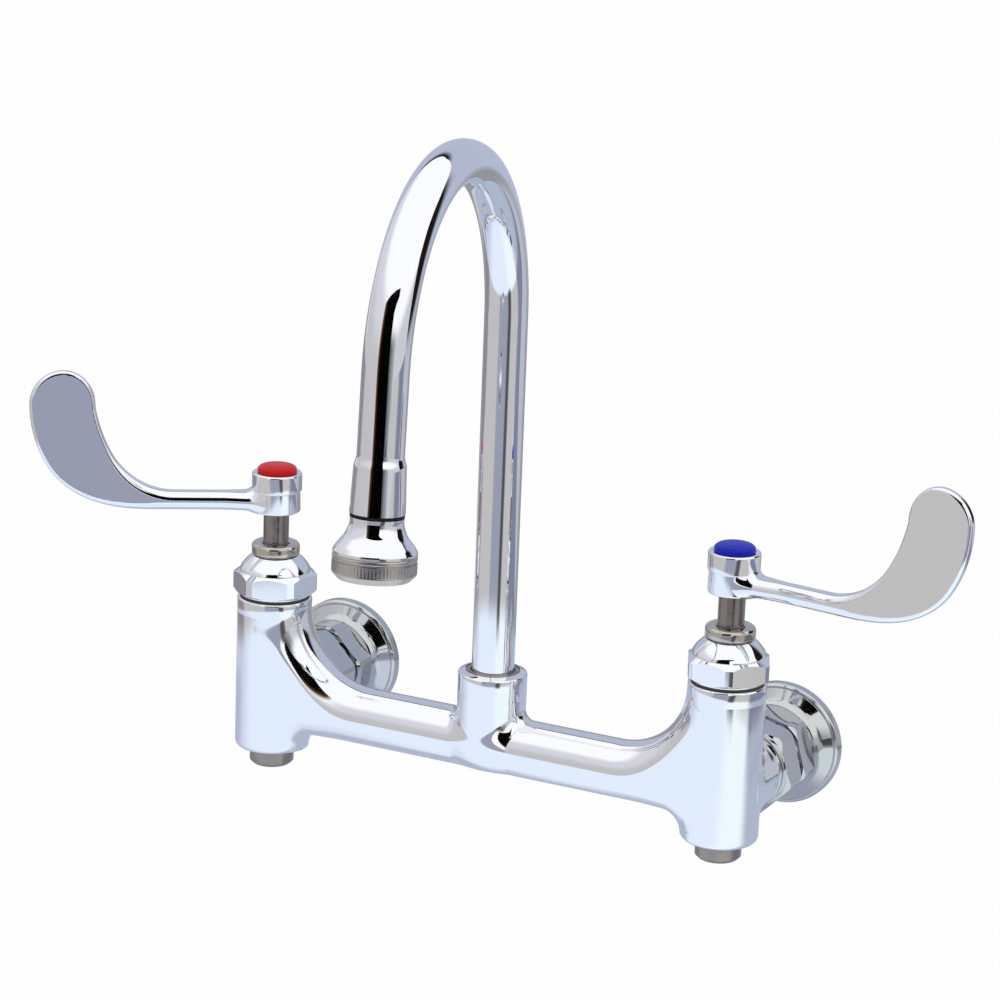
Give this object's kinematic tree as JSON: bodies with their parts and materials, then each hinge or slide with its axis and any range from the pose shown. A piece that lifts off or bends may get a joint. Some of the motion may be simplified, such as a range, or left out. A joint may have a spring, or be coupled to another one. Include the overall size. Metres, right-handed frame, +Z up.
{
  "type": "commercial wall faucet",
  "caption": "Wall-mounted mixing faucet with a swivelling gooseneck and spray rose, wrist-lever valves, screwdriver stops and union inlets.",
  "frame": {"origin": "on the wall plane, midway between the two inlets and level with their axes", "axes": "+X towards the cold side, along the line between the inlets; +Y into the wall; +Z up"},
  "size_m": [0.3875, 0.2242, 0.2833],
  "materials": {
    "chrome_plate": "polished",
    "satin_nickel": "satin",
    "brushed_nickel": "brushed",
    "bare_brass": "machined",
    "black_rubber": "matte",
    "packing_fibre": "matte",
    "red_plastic": "gloss",
    "blue_plastic": "gloss"
  },
  "bodies": {
    "root": {"body_casting": "chrome_plate", "hot_packing_nut": "satin_nickel", "hot_stem_packing": "packing_fibre", "hot_bonnet": "chrome_plate", "hot_bonnet_gasket": "packing_fibre", "hot_cartridge_sleeve": "bare_brass", "hot_valve_seat": "bare_brass", "hot_stop_cap": "satin_nickel", "hot_stop_seal": "black_rubber", "hot_coupling_nut": "chrome_plate", "hot_inlet_tailpiece": "bare_brass", "hot_inlet_washer": "black_rubber", "hot_inlet_flange": "chrome_plate", "cold_packing_nut": "satin_nickel", "cold_stem_packing": "packing_fibre", "cold_bonnet": "chrome_plate", "cold_bonnet_gasket": "packing_fibre", "cold_cartridge_sleeve": "bare_brass", "cold_valve_seat": "bare_brass", "cold_stop_cap": "satin_nickel", "cold_stop_seal": "black_rubber", "cold_coupling_nut": "chrome_plate", "cold_inlet_tailpiece": "bare_brass", "cold_inlet_washer": "black_rubber", "cold_inlet_flange": "chrome_plate", "swivel_retainer": "satin_nickel"},
    "hot_handle": {"hot_stem": "satin_nickel", "hot_wrist_lever": "chrome_plate", "hot_lever_screw": "satin_nickel", "hot_index_button": "red_plastic"},
    "cold_handle": {"cold_stem": "satin_nickel", "cold_wrist_lever": "chrome_plate", "cold_lever_screw": "satin_nickel", "cold_index_button": "blue_plastic"},
    "hot_plunger": {"hot_valve_plunger": "bare_brass", "hot_seat_washer": "black_rubber"},
    "cold_plunger": {"cold_valve_plunger": "bare_brass", "cold_seat_washer": "black_rubber"},
    "hot_stop_screw": {"hot_stop_spindle": "bare_brass"},
    "cold_stop_screw": {"cold_stop_spindle": "bare_brass"},
    "hot_stop_slider": {"hot_stop_plunger": "bare_brass", "hot_stop_washer": "black_rubber"},
    "cold_stop_slider": {"cold_stop_plunger": "bare_brass", "cold_stop_washer": "black_rubber"},
    "spout": {"gooseneck": "chrome_plate", "swivel_sleeve": "bare_brass", "lower_swivel_seal": "black_rubber", "upper_swivel_seal": "black_rubber", "outlet_gasket": "black_rubber", "rose_body": "chrome_plate", "rose_seal": "black_rubber", "spray_face": "brushed_nickel", "rose_ring": "brushed_nickel"}
  },
  "joints": [
    {"name": "hot_lever_turn", "type": "hinge", "parent": "root", "child": "hot_handle", "pos_m": [-0.1016, -0.0635, 0], "axis": [0, 0, 1], "range_deg": [-33, 57]},
    {"name": "cold_lever_turn", "type": "hinge", "parent": "root", "child": "cold_handle", "pos_m": [0.1016, -0.0635, 0], "axis": [0, 0, -1], "range_deg": [-8, 82]},
    {"name": "hot_plunger_lift", "type": "slide", "parent": "root", "child": "hot_plunger", "axis": [0, 0, 1], "range_m": [-0.00111, 0.00191]},
    {"name": "cold_plunger_lift", "type": "slide", "parent": "root", "child": "cold_plunger", "axis": [0, 0, 1], "range_m": [-0.00027, 0.00274]},
    {"name": "hot_stop_turn", "type": "hinge", "parent": "root", "child": "hot_stop_screw", "pos_m": [-0.1016, -0.0635, 0], "axis": [0, 0, 1], "range_deg": [0, 1800]},
    {"name": "cold_stop_turn", "type": "hinge", "parent": "root", "child": "cold_stop_screw", "pos_m": [0.1016, -0.0635, 0], "axis": [0, 0, 1], "range_deg": [0, 1800]},
    {"name": "hot_stop_lift", "type": "slide", "parent": "root", "child": "hot_stop_slider", "axis": [0, 0, 1], "range_m": [0, 0.00635]},
    {"name": "cold_stop_lift", "type": "slide", "parent": "root", "child": "cold_stop_slider", "axis": [0, 0, 1], "range_m": [0, 0.00635]},
    {"name": "spout_swivel", "type": "hinge", "parent": "root", "child": "spout", "pos_m": [0, -0.0635, 0], "axis": [0, 0, 1], "range_deg": [-114, 96]}
  ],
  "couplings": [
    {"joint": "hot_plunger_lift", "follows": "hot_lever_turn", "m_per_rad": 0.0019099},
    {"joint": "cold_plunger_lift", "follows": "cold_lever_turn", "m_per_rad": 0.0019099},
    {"joint": "hot_stop_turn", "follows": "hot_stop_lift", "rad_per_m": 4947},
    {"joint": "cold_stop_turn", "follows": "cold_stop_lift", "rad_per_m": 4947}
  ]
}
